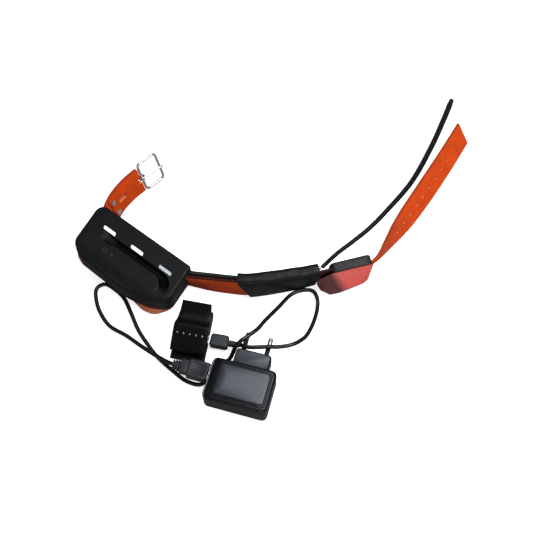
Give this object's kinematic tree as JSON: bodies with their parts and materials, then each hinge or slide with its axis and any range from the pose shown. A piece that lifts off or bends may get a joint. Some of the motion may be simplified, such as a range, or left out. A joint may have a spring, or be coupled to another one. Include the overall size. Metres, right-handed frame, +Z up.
{
  "type": "dog tracking collar with charging set",
  "caption": "Orange collar strap with a black tracker module, beacon puck and whip antenna, beside its wall adapter, charging lead and contact clip.",
  "frame": {"origin": "centre of the tracker module's flat underside, on the surface that the set lies on", "axes": "+Z up from that surface; +X along the spread collar towards the strap tail; +Y away from the charging set"},
  "size_m": [0.3561, 0.3208, 0.0312],
  "materials": {
    "moulded_black": "fine matte texture",
    "sleeve_black": "satin heat-shrink sleeve",
    "cable_black": "satin jacket",
    "rubber_black": "matte",
    "shell_orange_brown": "satin moulded",
    "strap_orange": "coated webbing, satin",
    "steel": "nickel plated",
    "contact_gold": "gold plated",
    "board_green": "solder mask",
    "battery_wrap": "shrink wrap",
    "window_white": "translucent white lens",
    "beacon_red": "translucent red lens",
    "ceramic": "fired ceramic",
    "adapter_grey": "satin moulded"
  },
  "bodies": {
    "collar": {"module_base_shell": "shell_orange_brown", "module_cover": "moulded_black", "module_gasket": "rubber_black", "main_board": "board_green", "battery": "battery_wrap", "radio_shield": "steel", "status_led": "window_white", "light_window_1": "window_white", "light_window_2": "window_white", "light_window_3": "window_white", "module_screw_1": "steel", "module_screw_2": "steel", "module_screw_3": "steel", "module_screw_4": "steel", "strap_anchor": "strap_orange", "strap_middle": "strap_orange", "signal_cable": "cable_black", "cable_sleeve": "sleeve_black", "antenna_ferrule": "steel", "puck_base": "moulded_black", "puck_lens": "beacon_red", "puck_board": "board_green", "puck_patch_antenna": "ceramic", "puck_led": "window_white"},
    "power_button": {"power_button": "rubber_black"},
    "buckle_strap": {"strap_buckle_end": "strap_orange", "strap_rivet_1": "steel", "strap_rivet_2": "steel"},
    "buckle_frame": {"buckle_frame": "steel"},
    "buckle_prong": {"buckle_prong": "steel"},
    "tail": {"strap_tail": "strap_orange"},
    "antenna": {"antenna_whip": "cable_black", "antenna_tip": "rubber_black"},
    "lead": {"charge_cable": "cable_black", "usb_a_housing": "adapter_grey", "usb_a_shell": "steel", "micro_usb_housing": "adapter_grey", "micro_usb_shell": "steel"},
    "adapter": {"adapter_bottom_shell": "adapter_grey", "adapter_top_shell": "adapter_grey", "adapter_board": "board_green", "adapter_transformer": "battery_wrap", "adapter_usb_socket": "steel", "plug_pin_1": "steel", "plug_pin_2": "steel", "pin_sleeve_1": "moulded_black", "pin_sleeve_2": "moulded_black"},
    "clip": {"clip_body": "moulded_black", "clip_hinge_pin": "steel", "clip_spring": "steel", "clip_socket": "steel"},
    "clip_jaw": {"clip_jaw": "moulded_black", "clip_contacts": "contact_gold"}
  },
  "joints": [
    {"name": "button_press", "type": "slide", "parent": "collar", "child": "power_button", "axis": [0, 0, -1], "range_m": [0, 0.0008], "stiffness_N_per_m": 4},
    {"name": "buckle_strap_flex", "type": "hinge", "parent": "collar", "child": "buckle_strap", "pos_m": [-0.02163, 0.05009, 0.01314], "axis": [-0.2335, 0.0584, 0.9706], "range_deg": [-20, 8], "stiffness_Nm_per_rad": 0.05},
    {"name": "buckle_frame_swing", "type": "hinge", "parent": "buckle_strap", "child": "buckle_frame", "pos_m": [0.0034, 0.08528, 0.01606], "axis": [-0.2111, 0.2257, 0.9511], "range_deg": [-40, 40]},
    {"name": "buckle_prong_swing", "type": "hinge", "parent": "buckle_frame", "child": "buckle_prong", "pos_m": [0.0034, 0.08528, 0.01606], "axis": [-0.2111, 0.2257, 0.9511], "range_deg": [-60, 0]},
    {"name": "tail_flex", "type": "hinge", "parent": "collar", "child": "tail", "pos_m": [0.2154, 0.01135, 0], "axis": [0, 0, 1], "range_deg": [-25, 3], "stiffness_Nm_per_rad": 0.05},
    {"name": "antenna_flex", "type": "hinge", "parent": "collar", "child": "antenna", "pos_m": [0.16209, -0.01092, 0.02457], "axis": [0.7413, -0.6712, 0], "range_deg": [0, 40], "stiffness_Nm_per_rad": 0.01},
    {"name": "lead_lift_away", "type": "slide", "parent": "collar", "child": "lead", "axis": [0, -1, 0], "range_m": [0, 0.12]},
    {"name": "adapter_pull", "type": "slide", "parent": "lead", "child": "adapter", "axis": [0.9636, -0.2672, 0], "range_m": [0, 0.016]},
    {"name": "clip_pull", "type": "slide", "parent": "lead", "child": "clip", "axis": [-0.9816, 0.1908, 0], "range_m": [0, 0.008]},
    {"name": "jaw_open", "type": "hinge", "parent": "clip", "child": "clip_jaw", "pos_m": [0.05542, -0.06336, 0.0146], "axis": [0.9816, -0.1908, 0], "range_deg": [0, 14], "stiffness_Nm_per_rad": 0.02, "springref_deg": -11.46}
  ]
}
